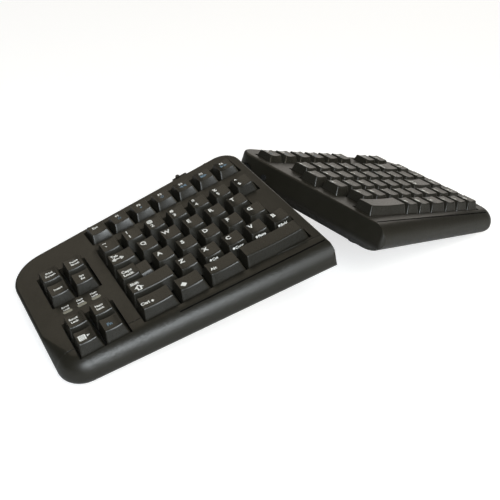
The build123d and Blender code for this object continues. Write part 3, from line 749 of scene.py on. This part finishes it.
# inner parts keep their solids' meshes
plainNodes = {
    "plateBlack": ["left_key_plate", "right_key_plate"],
    "domeRubber": ["left_dome_sheet", "right_dome_sheet"],
    "printedFilm": ["left_membrane", "right_membrane"],
    "zincSteel": ["left_back_plate", "right_back_plate"],
    "screwSteel": ["left_case_screws", "right_case_screws", "clamp_rod"],
    "blackCoat": ["stud_block"],
    "acetal": ["outer_liner", "inner_liner"],
    "solderMask": ["controller_board", "indicator_board", "link_board"],
}
for finish, names in plainNodes.items():
    for name in names:
        node = frame["nodes"][name]
        node.data.materials.clear()
        node.data.materials.append(materials[finish])
print("housings and inner parts finished")


# camera, floor and light

view = {
    "lens": 61.2,
    "clipStart": 0.01,
    "fromBall": (-388.3, -504.254, 329.212),   # mm
    "right": (0.807430, -0.585297, 0.074058),
    "down": (-0.265343, -0.472395, -0.840497),
    "forward": (0.526925, 0.658992, -0.536731),
}

bpy.ops.object.camera_add()
camera = bpy.context.object
camera.name = "photoCamera"
camera.data.lens = view["lens"]
camera.data.clip_start = view["clipStart"]
axes = Matrix((Vector(view["right"]), -Vector(view["down"]), -Vector(view["forward"])))
spot = (Vector(stand["ball"]) + Vector(view["fromBall"])) * mm
camera.matrix_world = Matrix.Translation(spot) @ axes.transposed().to_4x4()
bpy.context.scene.camera = camera

# name, direction from the object, distance, size, power, colour
lamps = [
    ("frontSoftbox", (-0.42, -0.64, 0.65), 1.6, 0.75, 24.0, (0.90, 0.96, 1.0)),
    ("lowFrontSoftbox", (-0.20, -0.91, 0.36), 1.8, 0.8, 7.0, (0.92, 0.97, 1.0)),
    ("rightSoftbox", (0.50, -0.60, 0.60), 1.8, 0.8, 9.0, (1.0, 0.90, 0.70)),
    ("backRightWall", (0.76, 0.61, 0.22), 1.8, 1.1, 4.5, (1.0, 0.94, 0.86)),
    ("backFill", (-0.02, 0.76, 0.65), 1.8, 1.0, 3.2, (1.0, 0.88, 0.70)),
]
for name, heading, distance, size, power, colour in lamps:
    direction = Vector(heading).normalized()
    bpy.ops.object.light_add(type="AREA", location=direction * distance)
    lamp = bpy.context.object
    lamp.name = name
    lamp.rotation_euler = direction.to_track_quat("Z", "Y").to_euler()
    lamp.data.shape = "SQUARE"
    lamp.data.size = size
    lamp.data.energy = power
    lamp.data.color = colour

pale = {
    "floorSize": 8,
    "floorColour": (0.6, 0.6, 0.6, 1),
    "floorRough": 0.9,
    "floorGloss": 0.1,
    "floorGlow": 0.65,       # lifts the floor to white for the camera alone
    "worldOnObject": 0.04,
    "worldSeen": 1.0,
}

bpy.ops.mesh.primitive_plane_add(size=pale["floorSize"], location=(0, 0, 0))
floor = bpy.context.object
floor.name = "paleFloor"
floorMaterial = bpy.data.materials.new("paleFloor")
floorMaterial.use_nodes = True
tree = floorMaterial.node_tree
shader = tree.nodes["Principled BSDF"]
shader.inputs["Base Color"].default_value = pale["floorColour"]
shader.inputs["Roughness"].default_value = pale["floorRough"]
shader.inputs["Specular IOR Level"].default_value = pale["floorGloss"]
shader.inputs["Emission Color"].default_value = (1, 1, 1, 1)
path = makeNode(tree, "ShaderNodeLightPath")
glow = makeNode(tree, "ShaderNodeMath", {1: pale["floorGlow"]}, operation="MULTIPLY")
tree.links.new(path.outputs["Is Camera Ray"], glow.inputs[0])
tree.links.new(glow.outputs[0], shader.inputs["Emission Strength"])
floor.data.materials.append(floorMaterial)

world = bpy.data.worlds.new("studio")
bpy.context.scene.world = world
world.use_nodes = True
tree = world.node_tree
sky = tree.nodes["Background"]
sky.inputs["Color"].default_value = (1, 1, 1, 1)
path = makeNode(tree, "ShaderNodeLightPath")
level = makeNode(tree, "ShaderNodeMapRange", {"To Min": pale["worldOnObject"], "To Max": pale["worldSeen"]})
tree.links.new(path.outputs["Is Camera Ray"], level.inputs["Value"])
tree.links.new(level.outputs["Result"], sky.inputs["Strength"])
bpy.context.scene.view_settings.view_transform = "Standard"
print("camera, floor and light set")

selectOnly(floor)
